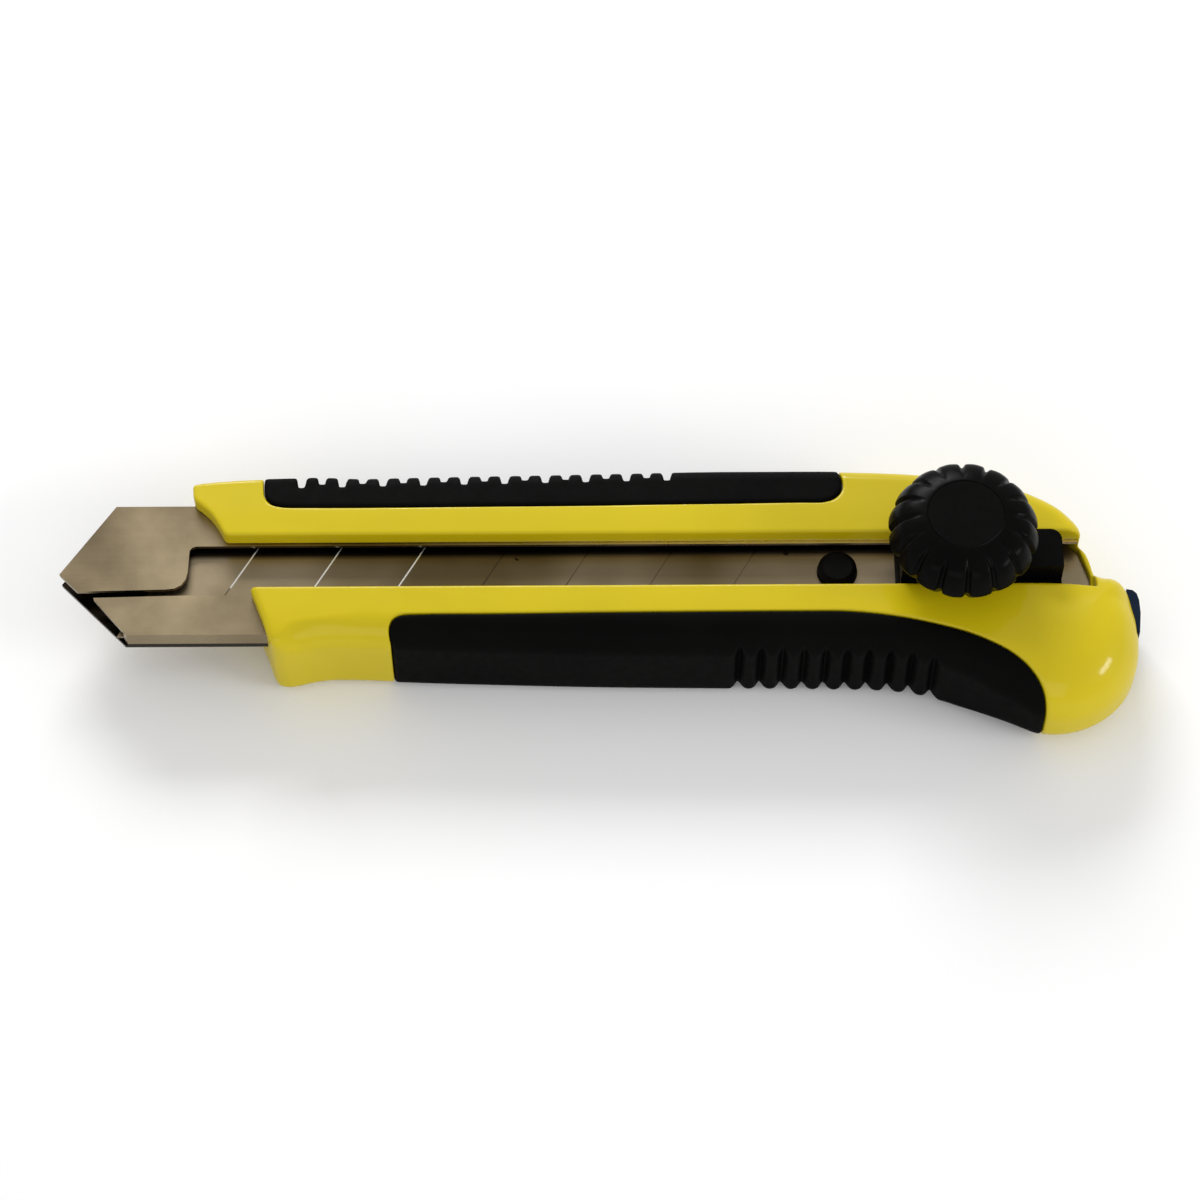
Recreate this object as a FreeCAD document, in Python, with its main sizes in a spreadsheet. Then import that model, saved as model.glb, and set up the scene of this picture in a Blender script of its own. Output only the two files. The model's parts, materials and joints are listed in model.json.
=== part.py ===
import FreeCAD, Part
import math
import os
import Sketcher

# Wheel-lock snap-off utility knife, 18 mm blade, lying flat on its back.
# +X runs from the blade tip to the tail, +Y towards the spine, +Z towards the knob.
# The origin is the middle of the length and width, on the flat back (z = 0).
# Every piece is drawn about the centre line of the blade slot and then moved by slot_offset_y.

doc = FreeCAD.newDocument("utility_knife")
V = FreeCAD.Vector

# ---------------------------------------------------------------- driving dimensions
DIMENSIONS = [
    # overall
    ("slot_offset_y", 3.25), ("handle_thick", 14.0), ("cover_thick", 2.4),
    ("edge_round", 2.2), ("back_round", 1.8), ("tail_x", 68.4), ("bulb_tail_x", 69.75),
    ("nose_tip_x", -70.0),
    # spine line of the handle
    ("front_top_x", -53.2), ("front_top_y", 11.3), ("spine_front_y", 12.75),
    ("spine_mid_y", 13.8), ("spine_high_y", 14.1), ("spine_drop_x", 41.0),
    ("spine_end_x", 62.6), ("spine_end_y", 3.85),
    # belly line of the handle
    ("guard_x", -40.0), ("guard_y", -12.1), ("neck_x", -34.5), ("neck_y", -11.1),
    ("belly_mid_y", -12.3), ("belly_rear_y", -12.95), ("bulb_x", 58.8), ("bulb_y", -20.6),
    # blade channel, a folded stainless strip
    ("channel_half", 9.65), ("channel_bottom", 8.2), ("sheet", 0.5), ("flange_top", 11.4),
    ("slot_up", 3.55), ("slot_low", 3.75), ("rail_gap", 3.85), ("slot_start_x", -53.4),
    ("plate_low_y", -2.9), ("plate_gap_y", -3.85), ("nose_top_x", -63.2),
    ("nose_low_x", -61.2), ("channel_end_x", 63.6),
    ("channel_clear", 0.05),
    # soft grips
    ("grip_skin", 1.3), ("spine_skin", 2.7), ("belly_skin", 1.25),
    ("tooth_pitch", 2.652), ("tooth_first_x", -38.9),
    ("tooth_count", 19), ("tooth_depth", 1.8), ("tooth_gap", 0.9),
    ("groove_pitch", 2.77), ("groove_first_x", 17.9), ("groove_count", 10),
    ("groove_radius", 0.85), ("spine_grip_y", 8.15), ("spine_grip_front", -43.8),
    ("spine_grip_rear", 31.7), ("belly_grip_y", -8.0), ("belly_grip_front", -27.0),
    ("belly_grip_rear", 55.2),
    # snap-off blade
    ("blade_width", 18.0), ("blade_thick", 0.5), ("blade_bottom", 9.55),
    ("blade_tip_x", -62.2), ("blade_tail_x", 38.3), ("blade_slope", 5.2),
    ("score_pitch", 10.87), ("score_first_x", -46.9), ("score_count", 7),
    ("score_depth", 0.12), ("score_width", 0.22), ("peg_x", 30.8), ("blade_hole", 2.65),
    # slider
    ("knob_x", 46.4), ("block_front_x", 38.8), ("block_rear_x", 59.5),
    ("block_half", 2.8), ("block_top", 16.0), ("block_foot", 3.3), ("block_skirt", 3.65),
    ("carrier_front_x", 25.0), ("carrier_rear_x", 58.5), ("carrier_half", 8.3),
    ("carrier_bottom", 9.1), ("carrier_thick", 0.4), ("peg_radius", 2.5),
    ("peg_top", 11.5), ("stud_radius", 2.5), ("stud_top", 22.9), ("stud_head", 3.6),
    # knob
    ("washer_radius", 6.0), ("washer_thick", 0.6), ("washer_gap", 0.05),
    ("knob_under_z", 16.75), ("knob_under_r", 8.2), ("knob_wide_z", 19.6),
    ("knob_wide_r", 9.65), ("knob_upper_z", 23.0), ("knob_upper_r", 8.45),
    ("knob_rim_z", 24.2), ("knob_rim_r", 6.4), ("knob_face_z", 24.5), ("knob_face_r", 5.2),
    ("lobe_count", 16), ("lobe_cut_r", 0.75), ("nut_flat", 4.0), ("nut_height", 4.0),
    ("stud_clear", 0.06), ("cap_seat", 0.9),
    # end cap
    ("cap_plate", 1.6), ("cap_low_y", -8.4), ("cap_high_y", -1.95), ("cap_low_z", 2.2),
    ("cap_high_z", 8.6), ("plug_len", 8.3), ("plug_low_y", -7.8), ("plug_high_y", -2.6),
    ("plug_low_z", 2.9), ("plug_high_z", 7.2), ("plug_clear", 0.12), ("blade_mouth", 0.9),
    # fasteners
    ("screw_radius", 1.25), ("screw_head_r", 2.3), ("screw_head_h", 1.4),
    ("screw_sink", 0.2), ("screw_tip_z", 5.3), ("insert_radius", 1.95), ("insert_long", 2.9),
    ("pin_radius", 1.0), ("pin_bottom", 5.0),
    # back cover plate
    ("cover_front_x", -47.5), ("cover_rear_x", 57.5), ("cover_half", 7.2),
    ("cover_clear", 0.08),
]

sheet = doc.addObject("Spreadsheet::Sheet", "dims")
for row, (alias, value) in enumerate(DIMENSIONS, start=1):
    sheet.set("A%d" % row, alias)
    sheet.set("B%d" % row, str(value))
    sheet.setAlias("B%d" % row, alias)
doc.recompute()


def dim(alias):
    return float(getattr(sheet, alias))


# ---------------------------------------------------------------- helpers
def new_body(label):
    body = doc.addObject("PartDesign::Body", label)
    body.Label = label
    body.setExpression(".Placement.Base.y", "dims.slot_offset_y")
    return body


def new_sketch(body, name, role, height=None):
    plane = [f for f in body.Origin.OriginFeatures if f.Role == role][0]
    sketch = body.newObject("Sketcher::SketchObject", name)
    sketch.AttachmentSupport = [(plane, "")]
    sketch.MapMode = "FlatFace"
    if height:
        sketch.setExpression(".AttachmentOffset.Base.z", height)
    return sketch


def fix_point(sketch, geo, pos, axis, expr):
    """Tie one coordinate of a sketch point to the origin by an expression."""
    if expr == "0":
        sketch.addConstraint(Sketcher.Constraint("PointOnObject", geo, pos, -2 if axis == "X" else -1))
        return
    point = sketch.getPoint(geo, pos)
    value = point.x if axis == "X" else point.y
    index = sketch.addConstraint(
        Sketcher.Constraint("Distance" + axis, -1, 1, geo, pos, value))
    sketch.setExpression("Constraints[%d]" % index, expr)


def evaluate(expr):
    """Value of a sheet expression written with dims.alias names."""
    return float(sheet.evalExpression(expr)) if expr != "0" else 0.0


def polygon(sketch, points):
    """Closed polygon whose corners are bound to (x, y) expressions."""
    corners = [V(evaluate(px), evaluate(py), 0) for px, py in points]
    count = len(corners)
    first = sketch.GeometryCount
    for i in range(count):
        sketch.addGeometry(Part.LineSegment(corners[i], corners[(i + 1) % count]))
    for i in range(count):
        nxt = first + (i + 1) % count
        sketch.addConstraint(Sketcher.Constraint("Coincident", first + i, 2, nxt, 1))
    for i, (px, py) in enumerate(points):
        fix_point(sketch, first + i, 1, "X", px)
        fix_point(sketch, first + i, 1, "Y", py)


def circle(sketch, cx, cy, radius):
    """Circle bound to expressions for its centre and radius."""
    centre = V(evaluate(cx), evaluate(cy), 0)
    geo = sketch.addGeometry(Part.Circle(centre, V(0, 0, 1), evaluate(radius)))
    fix_point(sketch, geo, 3, "X", cx)
    fix_point(sketch, geo, 3, "Y", cy)
    index = sketch.addConstraint(Sketcher.Constraint("Radius", geo, evaluate(radius)))
    sketch.setExpression("Constraints[%d]" % index, radius)


def rectangle(sketch, x_low, y_low, x_high, y_high):
    polygon(sketch, [(x_low, y_low), (x_high, y_low), (x_high, y_high), (x_low, y_high)])


def pad(body, name, sketch, length, reverse=False):
    feature = body.newObject("PartDesign::Pad", name)
    feature.Profile = sketch
    feature.Reversed = reverse
    feature.setExpression("Length", length)
    sketch.Visibility = False
    doc.recompute()
    return feature


def pocket(body, name, sketch, length, reverse=False):
    """Cut a sketch into the body and make sure that material really went."""
    before = body.Shape.Volume
    feature = body.newObject("PartDesign::Pocket", name)
    feature.Profile = sketch
    feature.Reversed = reverse
    feature.setExpression("Length", length)
    doc.recompute()
    if body.Shape.Volume > before - 1e-6:
        raise RuntimeError("pocket cut nothing: " + name)
    return feature


def revolve(body, name, sketch, axis="V_Axis"):
    feature = body.newObject("PartDesign::Revolution", name)
    feature.Profile = sketch
    feature.ReferenceAxis = (sketch, [axis])
    feature.Angle = 360.0
    doc.recompute()
    return feature


def solid_feature(label, shape):
    """Sub-part whose shape is set directly; its placement follows the sheet."""
    feature = doc.addObject("Part::Feature", label)
    feature.Label = label
    feature.Shape = shape
    feature.setExpression(".Placement.Base.y", "dims.slot_offset_y")
    return feature


def box(x0, x1, y0, y1, z0, z1):
    return Part.makeBox(x1 - x0, y1 - y0, z1 - z0, V(x0, y0, z0))


def spline(points):
    curve = Part.BSplineCurve()
    curve.interpolate([V(x, y, 0) for x, y in points])
    return curve.toShape()


def line(a, b):
    return Part.LineSegment(V(a[0], a[1], 0), V(b[0], b[1], 0)).toShape()


def prism(edges, z0, z1):
    face = Part.Face(Part.Wire(edges))
    face.translate(V(0, 0, z0))
    return face.extrude(V(0, 0, z1 - z0))


def poly_prism(points, z0, z1):
    ring = [V(x, y, z0) for x, y in points]
    face = Part.Face(Part.makePolygon(ring + [ring[0]]))
    return face.extrude(V(0, 0, z1 - z0))


# ---------------------------------------------------------------- handle envelope
def spine_points():
    high = dim("spine_high_y")
    return [(dim("front_top_x"), dim("front_top_y")), (-52.3, 11.95), (-49.5, 12.35),
            (-44.0, dim("spine_front_y")), (-36.0, 13.1), (-28.0, 13.35), (-8.0, dim("spine_mid_y") - 0.1),
            (14.0, high), (30.0, high - 0.03), (dim("spine_drop_x"), 13.6), (49.0, 12.2),
            (56.0, 10.1), (60.0, 7.5), (dim("spine_end_x"), dim("spine_end_y"))]


def belly_points():
    tail = dim("bulb_tail_x")
    return [(68.2, -1.5), (68.95, -2.5), (69.4, -5.0), (tail, -8.6), (69.5, -11.8),
            (68.4, -14.8), (66.6, -17.0), (63.2, -19.5), (dim("bulb_x"), dim("bulb_y")),
            (54.5, -19.1), (50.0, -16.9), (44.0, -14.3), (36.0, dim("belly_rear_y")),
            (18.0, -12.6), (0.0, dim("belly_mid_y")), (-20.0, -11.65),
            (dim("neck_x"), dim("neck_y")), (-37.0, -11.5), (dim("guard_x"), dim("guard_y")),
            (-41.6, -11.3), (-42.5, -8.8), (-43.2, -5.2)]


def handle_envelope():
    """Outer shape of both shells and grips: rounded plan prism."""
    spine = spine_points()
    belly = belly_points()
    tail_step = (64.9, -1.5)
    edges = [spline(spine), spline([spine[-1], (63.75, 2.3), (64.35, 0.2), tail_step]),
             line(tail_step, belly[0]),
             spline(belly), line(belly[-1], (-48.6, 3.9)),
             spline([(-48.6, 3.9), (-50.6, 5.4), (-52.4, 8.2), spine[0]])]
    shape = prism(edges, 0.0, dim("handle_thick"))
    top = [e for e in shape.Edges if e.BoundBox.ZMin > dim("handle_thick") - 0.01]
    shape = shape.makeFillet(dim("edge_round"), top)
    low = [e for e in shape.Edges if e.BoundBox.ZMax < 0.01]
    return shape.makeFillet(dim("back_round"), low)


def grip_core():
    """Hard core that the soft skins lie on: the plan drawn in by the skins."""
    skin = dim("grip_skin")
    top = [(x, y - dim("spine_skin")) for x, y in spine_points()[2:11]]
    inner = dim("belly_skin")
    low = [(x - 0.5 * inner * (x > 40), y + inner) for x, y in belly_points()[9:18]]
    edges = [spline(top), line(top[-1], low[0]), spline(low), line(low[-1], top[0])]
    return prism(edges, skin, dim("handle_thick") - skin)


def spine_region():
    """Plan area of the spine grip."""
    x0, x1, y0 = dim("spine_grip_front"), dim("spine_grip_rear"), dim("spine_grip_y")
    edges = [line((x0, 20.0), (x0, y0 + 2.2)),
             Part.Arc(V(x0, y0 + 2.2, 0), V(x0 + 0.65, y0 + 0.6, 0), V(x0 + 2.2, y0, 0)).toShape(),
             line((x0 + 2.2, y0), (x1 - 1.8, y0 + 0.35)),
             Part.Arc(V(x1 - 1.8, y0 + 0.35, 0), V(x1 - 0.1, y0 + 1.9, 0),
                      V(x1 - 0.5, y0 + 4.2, 0)).toShape(),
             line((x1 - 0.5, y0 + 4.2), (x1 - 1.6, 20.0)), line((x1 - 1.6, 20.0), (x0, 20.0))]
    return prism(edges, -1.0, 30.0)


def belly_region():
    """Plan area of the belly grip, its rear end swept down into the bulb."""
    x0, x1, y0 = dim("belly_grip_front"), dim("belly_grip_rear"), dim("belly_grip_y")
    top = [(x0 + 1.6, y0), (0.0, y0 + 0.1), (28.0, y0 + 0.12), (38.2, y0 - 0.75),
           (43.6, y0 - 2.0), (49.5, y0 - 4.3), (53.0, y0 - 7.3), (54.9, y0 - 10.5),
           (x1 + 0.1, -23.0)]
    edges = [Part.Arc(V(x0 + 0.1, y0 - 2.2, 0), V(x0 + 0.5, y0 - 0.6, 0),
                      V(x0 + 1.6, y0, 0)).toShape(),
             spline(top), line(top[-1], (x0 + 1.0, -23.0)),
             line((x0 + 1.0, -23.0), (x0 + 0.1, y0 - 2.2))]
    return prism(edges, -1.0, 30.0)


envelope = handle_envelope()
core = grip_core()
skin_shell = envelope.cut(core)
spine_skin = skin_shell.common(spine_region())
belly_skin = skin_shell.common(belly_region())

# teeth along the spine edge and grooves round the belly edge
teeth = []
for i in range(int(dim("tooth_count"))):
    x = dim("tooth_first_x") + i * dim("tooth_pitch")
    y = 13.0 + 0.02 * (x + 40.0) - dim("tooth_depth")
    depth = 0.35 if i % 2 else 0.0
    half = 0.5 * dim("tooth_gap")
    teeth.append(poly_prism([(x - half, y + depth), (x + half, y + depth),
                             (x + half + 0.35, 16.0), (x - half - 0.35, 16.0)], 2.4, 20.0))
spine_skin = spine_skin.cut(Part.makeCompound(teeth))

grooves = []
for i in range(int(dim("groove_count"))):
    x = dim("groove_first_x") + i * dim("groove_pitch")
    y = -12.75 - 0.0042 * max(0.0, x - 24.0) ** 1.9
    grooves.append(Part.makeCylinder(dim("groove_radius"), 20.0, V(x, y, 1.2)))
belly_skin = belly_skin.cut(Part.makeCompound(grooves))

# ---------------------------------------------------------------- shells
# slanted tail corner of the channel: distance in front of its end, and height over the slot line
TAIL_CORNER = [(9.6, 9.65), (5.6, 7.6), (3.6, 6.1), (2.4, 4.6), (1.3, 3.4), (0.0, -0.6)]

clear = dim("channel_clear")
half = dim("channel_half") + clear
channel_end = dim("channel_end_x")
channel_plan = [(-80, half), (-80, -half), (channel_end + 0.1, -half)]
channel_plan += [(channel_end - back + 0.08, y + 0.08) for back, y in reversed(TAIL_CORNER)]
channel_plan += [(channel_end - TAIL_CORNER[0][0] + 0.08, half)]
channel_space = poly_prism(channel_plan, dim("channel_bottom"), dim("flange_top"))
slot_space = box(-80, channel_end + 0.8, -dim("rail_gap"), dim("rail_gap"), dim("flange_top") - 0.01, 30)

plug_gap = dim("plug_clear")
plug_space = box(dim("tail_x") - dim("plug_len") - 0.4, 80,
                 dim("plug_low_y") - plug_gap, dim("plug_high_y") + plug_gap,
                 dim("plug_low_z") - plug_gap, dim("plug_high_z") + plug_gap)
plate_space = box(dim("tail_x") - 0.1, 80, dim("cap_low_y") - 0.15, 5.0,
                  dim("cap_low_z") - 0.15, dim("cap_high_z") + 0.15)

SCREWS = [(-43.5, 4.2), (-38.5, -4.4), (53.0, 4.3), (53.0, -4.3)]
PINS = [(-32.0, 0.0), (12.0, 0.0)]
seat_z = dim("cover_thick") + dim("cover_clear")


def cover_plan(grow):
    """Outline of the back cover: a strip with a slanted front and rounded corners."""
    x0, x1 = dim("cover_front_x") - grow, dim("cover_rear_x") + grow
    y1 = dim("cover_half") + grow
    plate = poly_prism([(x0, y1), (x0 + 0.5, y1 - 3.5), (x0 + 7.5, -y1), (x1, -y1), (x1, y1)],
                       0.0, seat_z if grow else dim("cover_thick"))
    upright = [e for e in plate.Edges if e.BoundBox.ZLength > 1.0]
    return plate.makeFillet(1.2, upright)


screw_holes = []
insert_holes = []
for x, y in SCREWS:
    screw_holes.append(Part.makeCylinder(dim("screw_radius") + 0.15, 20.0, V(x, y, -1)))
    screw_holes.append(Part.makeCylinder(dim("screw_head_r") + 0.2,
                                         dim("screw_sink") + dim("screw_head_h") + 1.0,
                                         V(x, y, -1)))
    insert_holes.append(Part.makeCylinder(dim("insert_radius"), dim("insert_long") + 0.3,
                                          V(x, y, seat_z - 0.01)))
pin_holes = [Part.makeCylinder(dim("pin_radius"), 4.0, V(x, y, dim("pin_bottom") - 0.05))
             for x, y in PINS]

hard = envelope.cut(skin_shell.common(spine_region())).cut(skin_shell.common(belly_region()))
hard = hard.cut(channel_space).cut(slot_space).cut(plug_space).cut(plate_space)

cover_seat = cover_plan(dim("cover_clear"))
front_shell = hard.cut(cover_seat).cut(Part.makeCompound(insert_holes + pin_holes))
rear_shell = cover_plan(0.0)
rear_shell = rear_shell.makeChamfer(0.25, [e for e in rear_shell.Edges if e.BoundBox.ZMax < 0.01])
rear_shell = rear_shell.cut(Part.makeCompound(screw_holes))

solid_feature("handle_body", front_shell)
solid_feature("rear_cover", rear_shell)
solid_feature("spine_grip", spine_skin)
solid_feature("belly_grip", belly_skin)


# ---------------------------------------------------------------- fasteners
def cover_screw(x, y):
    """Pan head screw with a cross recess, driven from the back."""
    z_head = dim("screw_sink")
    head = Part.makeCylinder(dim("screw_head_r"), dim("screw_head_h"), V(x, y, z_head))
    rim = [e for e in head.Edges if e.BoundBox.ZMax < z_head + 0.01]
    head = head.makeFillet(0.5, rim)
    shank = Part.makeCylinder(dim("screw_radius"), dim("screw_tip_z") - z_head - 0.5,
                              V(x, y, z_head + 0.5))
    recess = box(x - 1.3, x + 1.3, y - 0.28, y + 0.28, z_head - 0.1, z_head + 0.8)
    recess = recess.fuse(box(x - 0.28, x + 0.28, y - 1.3, y + 1.3, z_head - 0.1, z_head + 0.8))
    return head.fuse(shank).cut(recess).removeSplitter()


def screw_insert(x, y):
    """Knurled brass insert that the screw runs into."""
    z0 = seat_z + 0.05
    outer = Part.makeCylinder(dim("insert_radius"), dim("insert_long"), V(x, y, z0))
    groove = Part.makeCylinder(3.0, 0.5, V(x, y, z0 + 1.2))
    groove = groove.cut(Part.makeCylinder(dim("insert_radius") - 0.3, 0.5, V(x, y, z0 + 1.2)))
    bore = Part.makeCylinder(dim("screw_radius"), 4.0, V(x, y, z0 - 0.5))
    return outer.cut(groove).cut(bore)


def channel_pin(x, y):
    """Pin through the handle floor into the back wall of the channel."""
    z0 = dim("pin_bottom")
    return Part.makeCylinder(dim("pin_radius"),
                             dim("channel_bottom") + dim("sheet") - z0 - 0.02, V(x, y, z0))


solid_feature("cover_screws", Part.makeCompound([cover_screw(x, y) for x, y in SCREWS]))
solid_feature("screw_inserts", Part.makeCompound([screw_insert(x, y) for x, y in SCREWS]))
solid_feature("channel_pins", Part.makeCompound([channel_pin(x, y) for x, y in PINS]))

# ---------------------------------------------------------------- blade channel
channel = new_body("blade_channel")
profile = new_sketch(channel, "channel_profile", "YZ_Plane", "dims.nose_tip_x")
out, low, top, wall = ("dims.channel_half", "dims.channel_bottom", "dims.flange_top",
                       "dims.sheet")
polygon(profile, [
    ("-" + out, low), (out, low), (out, top), ("-" + out, top)])
pad(channel, "channel_blank", profile, "dims.channel_end_x - dims.nose_tip_x")
hollow = new_sketch(channel, "channel_hollow", "YZ_Plane", "dims.nose_tip_x - 1")
rectangle(hollow, "-%s + %s" % (out, wall), "%s + %s" % (low, wall),
          "%s - %s" % (out, wall), "%s - %s" % (top, wall))
pocket(channel, "channel_inside", hollow, "200", True)

slot = new_sketch(channel, "slot_outline", "XY_Plane", "dims.channel_bottom + 1.5")
polygon(slot, [
    ("dims.slot_start_x + 0.95", "dims.slot_up"),
    ("dims.slot_start_x + 0.4", "dims.slot_up - 0.2"),
    ("dims.slot_start_x + 0.1", "dims.slot_up - 0.65"), ("dims.slot_start_x", "-0.4"),
    ("dims.slot_start_x - 0.2", "-1.4"), ("dims.slot_start_x - 0.75", "-2.25"),
    ("dims.slot_start_x - 1.6", "-2.75"), ("dims.slot_start_x - 2.8", "dims.plate_low_y"),
    ("dims.nose_tip_x - 2", "dims.plate_low_y - 0.35"),
    ("dims.nose_tip_x - 2", "dims.plate_gap_y - 0.4"),
    ("dims.slot_start_x", "dims.plate_gap_y + 0.05"),
    ("dims.channel_end_x + 2", "-dims.slot_low + 0.05"),
    ("dims.channel_end_x + 2", "dims.slot_up")])
pocket(channel, "slot_cut", slot, "10", True)

nose = new_sketch(channel, "nose_outline", "XY_Plane", "0")
polygon(nose, [
    ("dims.nose_tip_x - 3", "12"), ("dims.nose_top_x", "12"),
    ("dims.nose_top_x", "dims.channel_half"), ("dims.nose_tip_x + 0.15", "-0.35"),
    ("dims.nose_tip_x", "-0.15 - 0.4"), ("dims.nose_tip_x + 0.15", "-0.75"),
    ("dims.nose_low_x", "-dims.channel_half"), ("dims.nose_low_x", "-12"),
    ("dims.nose_tip_x - 3", "-12")])
pocket(channel, "nose_cut", nose, "30", True)

trim = new_sketch(channel, "lower_flange_trim", "XY_Plane", "dims.channel_bottom + dims.sheet")
polygon(trim, [
    ("dims.nose_tip_x - 2", "-dims.slot_low + 0.3"), ("dims.nose_tip_x + 4.4", "-dims.slot_low + 0.3"),
    ("dims.nose_tip_x + 4.7", "-dims.slot_low - 0.6"),
    ("dims.nose_low_x + 0.7", "-dims.channel_half - 0.4"),
    ("dims.nose_tip_x - 2", "-dims.channel_half - 0.4")])
pocket(channel, "lower_flange_front", trim, "10", True)

tail = new_sketch(channel, "tail_outline", "XY_Plane", "0")
polygon(tail, [
    ("dims.channel_end_x - 9.6", "12")] + [
    ("dims.channel_end_x - %.1f" % back, "%.2f" % y) for back, y in TAIL_CORNER] + [
    ("dims.channel_end_x + 3", "-0.6"), ("dims.channel_end_x + 3", "12")])
pocket(channel, "tail_cut", tail, "30", True)

pin_seats = new_sketch(channel, "pin_seats", "XY_Plane", "0")
for x, y in PINS:
    circle(pin_seats, str(x), str(y) if y else "0", "dims.pin_radius")
pocket(channel, "pin_holes", pin_seats, "30", True)

# ---------------------------------------------------------------- blade
blade = new_body("snap_blade")
outline = new_sketch(blade, "blade_outline", "XY_Plane", "dims.blade_bottom")
half_w = "dims.blade_width / 2"
polygon(outline, [
    ("dims.blade_tip_x", "-" + half_w), ("dims.blade_tail_x", "-" + half_w),
    ("dims.blade_tail_x", half_w), ("dims.blade_tip_x + 2 * dims.blade_slope", half_w)])
pad(blade, "blade_plate", outline, "dims.blade_thick")
mount = new_sketch(blade, "mount_hole", "XY_Plane", "dims.blade_bottom + dims.blade_thick")
circle(mount, "dims.peg_x", "0", "dims.blade_hole")
pocket(blade, "mount_cut", mount, "2")
bevel = new_sketch(blade, "edge_bevel", "YZ_Plane", "dims.blade_tip_x - 1")
polygon(bevel, [
    ("-" + half_w + " - 0.5", "dims.blade_bottom + 0.29"),
    ("-" + half_w + " + 1.2", "dims.blade_bottom + dims.blade_thick"),
    ("-" + half_w + " - 0.5", "dims.blade_bottom + dims.blade_thick + 0.3")])
pocket(blade, "edge_ground", bevel, "200", True)
score = new_sketch(blade, "score_line", "XY_Plane", "dims.blade_bottom + dims.blade_thick")
slope = "dims.blade_slope"
polygon(score, [
    ("dims.score_first_x - %s" % slope, "-" + half_w),
    ("dims.score_first_x - %s + dims.score_width" % slope, "-" + half_w),
    ("dims.score_first_x + %s + dims.score_width" % slope, half_w),
    ("dims.score_first_x + %s" % slope, half_w)])
score_cut = pocket(blade, "score_cut", score, "dims.score_depth")
before = blade.Shape.Volume
pattern = blade.newObject("PartDesign::LinearPattern", "score_pattern")
pattern.Originals = [score_cut]
pattern.Direction = (score, ["H_Axis"])
pattern.setExpression("Length", "dims.score_pitch * (dims.score_count - 1)")
pattern.setExpression("Occurrences", "dims.score_count")
blade.Tip = pattern
doc.recompute()
if blade.Shape.Volume > before - 1e-3:
    raise RuntimeError("score pattern cut nothing")

# ---------------------------------------------------------------- slider
carrier = new_body("blade_carrier")
plate = new_sketch(carrier, "carrier_plate", "XY_Plane", "dims.carrier_bottom")
polygon(plate, [
    ("dims.carrier_front_x", "-dims.carrier_half + 3"),
    ("dims.carrier_front_x + 3", "-dims.carrier_half"),
    ("dims.carrier_rear_x", "-dims.carrier_half"), ("dims.carrier_rear_x", "5.2"),
    ("dims.carrier_rear_x - 4.5", "dims.carrier_half"),
    ("dims.carrier_front_x + 3", "dims.carrier_half"),
    ("dims.carrier_front_x", "dims.carrier_half - 3")])
pad(carrier, "carrier_blank", plate, "dims.carrier_thick")
seats = new_sketch(carrier, "carrier_seats", "XY_Plane", "dims.carrier_bottom + dims.carrier_thick")
circle(seats, "dims.peg_x", "0", "dims.peg_radius - 0.9")
circle(seats, "dims.knob_x", "0", "dims.stud_head")
pocket(carrier, "carrier_holes", seats, "5")

peg = new_body("carrier_peg")
peg.setExpression(".Placement.Base.x", "dims.peg_x")
peg_profile = new_sketch(peg, "peg_profile", "XZ_Plane")
polygon(peg_profile, [
    ("0", "dims.carrier_bottom"), ("dims.peg_radius - 0.9", "dims.carrier_bottom"),
    ("dims.peg_radius - 0.9", "dims.carrier_bottom + dims.carrier_thick"),
    ("dims.peg_radius", "dims.carrier_bottom + dims.carrier_thick"),
    ("dims.peg_radius", "dims.peg_top - 0.5"), ("dims.peg_radius - 0.6", "dims.peg_top"),
    ("0", "dims.peg_top")])
revolve(peg, "peg_turned", peg_profile)

block = new_body("slider_block")
foot = new_sketch(block, "block_foot_plan", "XY_Plane",
                  "dims.carrier_bottom + dims.carrier_thick")
rectangle(foot, "dims.block_front_x", "-dims.block_foot", "dims.block_rear_x", "dims.block_foot")
pad(block, "block_foot_pad", foot, "dims.flange_top + 0.05 - dims.carrier_bottom - dims.carrier_thick")
skirt = new_sketch(block, "block_skirt_plan", "XY_Plane", "dims.flange_top + 0.05")
rectangle(skirt, "dims.block_front_x", "-dims.block_skirt", "dims.block_rear_x", "dims.block_skirt")
pad(block, "block_skirt_pad", skirt, "1.2")
upper = new_sketch(block, "block_top_plan", "XY_Plane", "dims.flange_top + 1.25")
rectangle(upper, "dims.block_front_x", "-dims.block_half", "dims.block_rear_x", "dims.block_half")
pad(block, "block_top_pad", upper, "dims.block_top - dims.flange_top - 1.25")
stud_way = new_sketch(block, "stud_way", "XY_Plane", "dims.block_top")
circle(stud_way, "dims.knob_x", "0", "dims.stud_radius")
pocket(block, "stud_hole", stud_way, "20")
corner_edges = []
for index, edge in enumerate(block.Shape.Edges, start=1):
    box_of = edge.BoundBox
    upright = box_of.ZLength > 2.5 and box_of.XLength < 0.01 and box_of.YLength < 0.01
    outer = abs(box_of.YMax) > dim("block_half") - 0.1
    if upright and outer and box_of.ZMax > dim("block_top") - 0.1:
        corner_edges.append("Edge%d" % index)
drilled = block.Tip
rounding = block.newObject("PartDesign::Fillet", "block_corners")
rounding.Base = (drilled, corner_edges)
rounding.Radius = 1.5
doc.recompute()

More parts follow.
